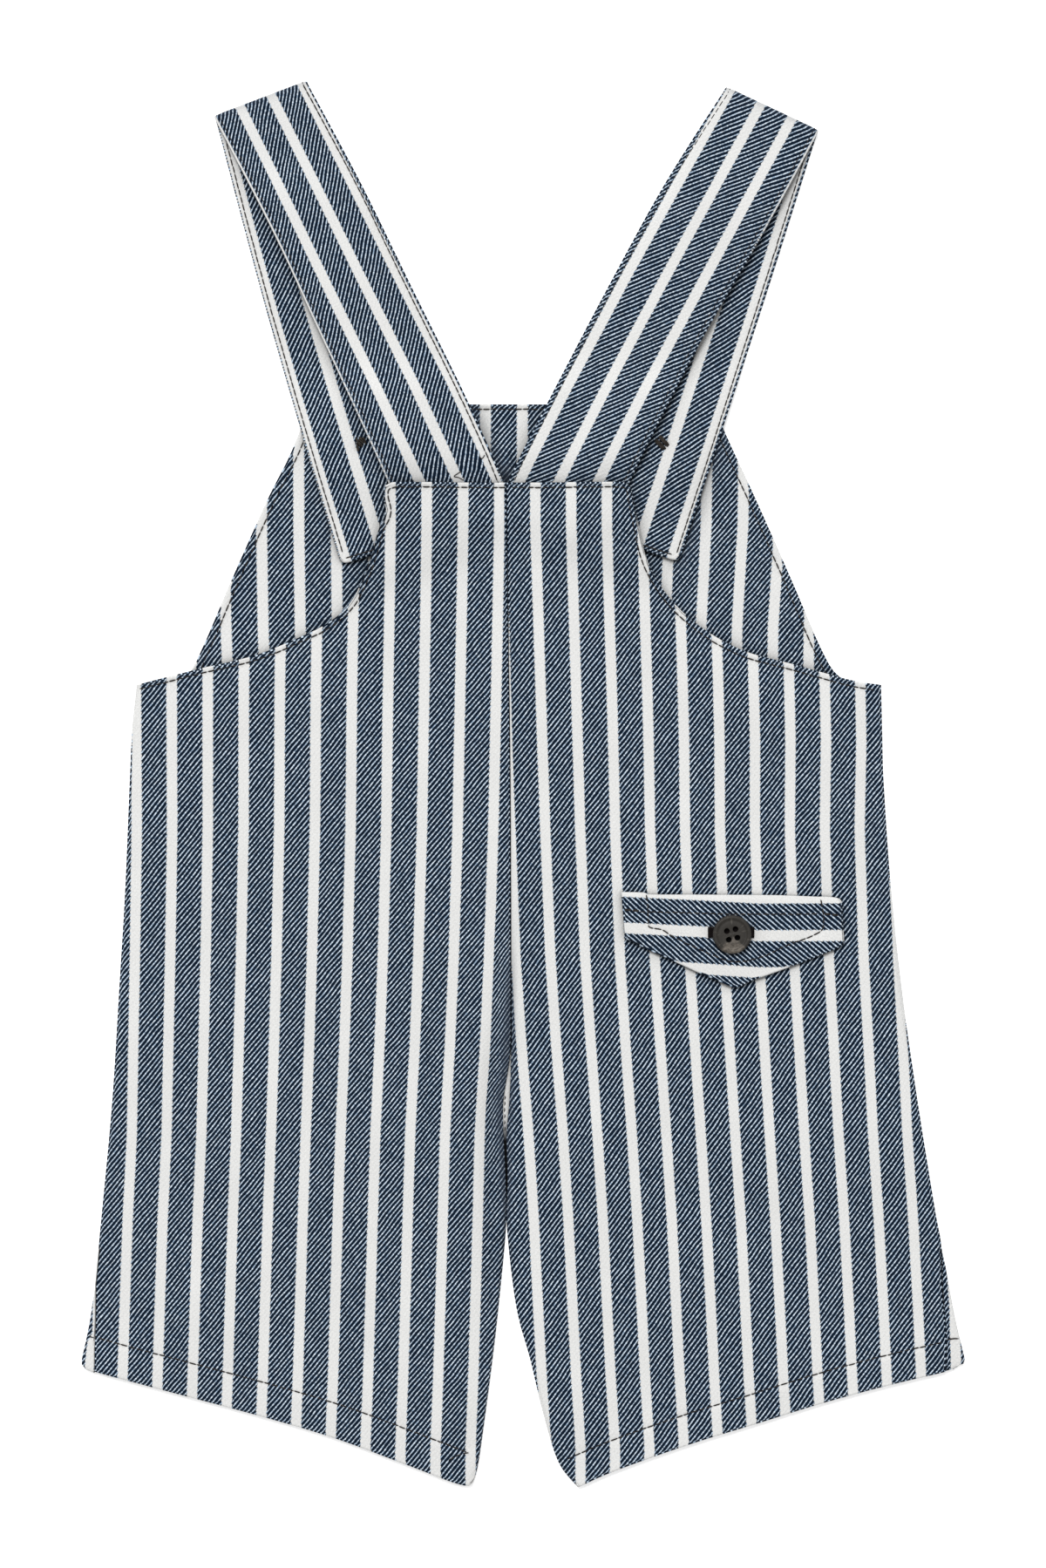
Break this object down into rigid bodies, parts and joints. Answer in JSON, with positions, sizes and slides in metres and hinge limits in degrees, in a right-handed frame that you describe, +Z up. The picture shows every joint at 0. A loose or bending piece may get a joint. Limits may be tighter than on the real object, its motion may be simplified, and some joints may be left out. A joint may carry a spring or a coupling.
{
  "type": "kids bib overalls",
  "caption": "Short-legged bib overalls in striped cotton twill, laid face down, with folded shoulder straps and a buttoned back pocket flap.",
  "frame": {"origin": "middle of the garment's outline, on the surface that it lies on", "axes": "+X to the wearer's right, +Y to the shoulders, +Z up out of the back of the garment"},
  "size_m": [0.3341, 0.533, 0.0101],
  "materials": {
    "twill": "cotton twill, navy and pale blue diagonal lines with off-white stripes",
    "button": "dark horn-coloured resin, satin, with a raised rim"
  },
  "bodies": {
    "root": {"front_bib": "twill", "front_leg_left": "twill", "front_leg_right": "twill", "strap_left": "twill", "strap_right": "twill", "back_left": "twill", "back_right": "twill", "pocket_flap": "twill", "pocket_button": "button", "bib_button_left": "button", "bib_button_right": "button"}
  },
  "joints": []
}
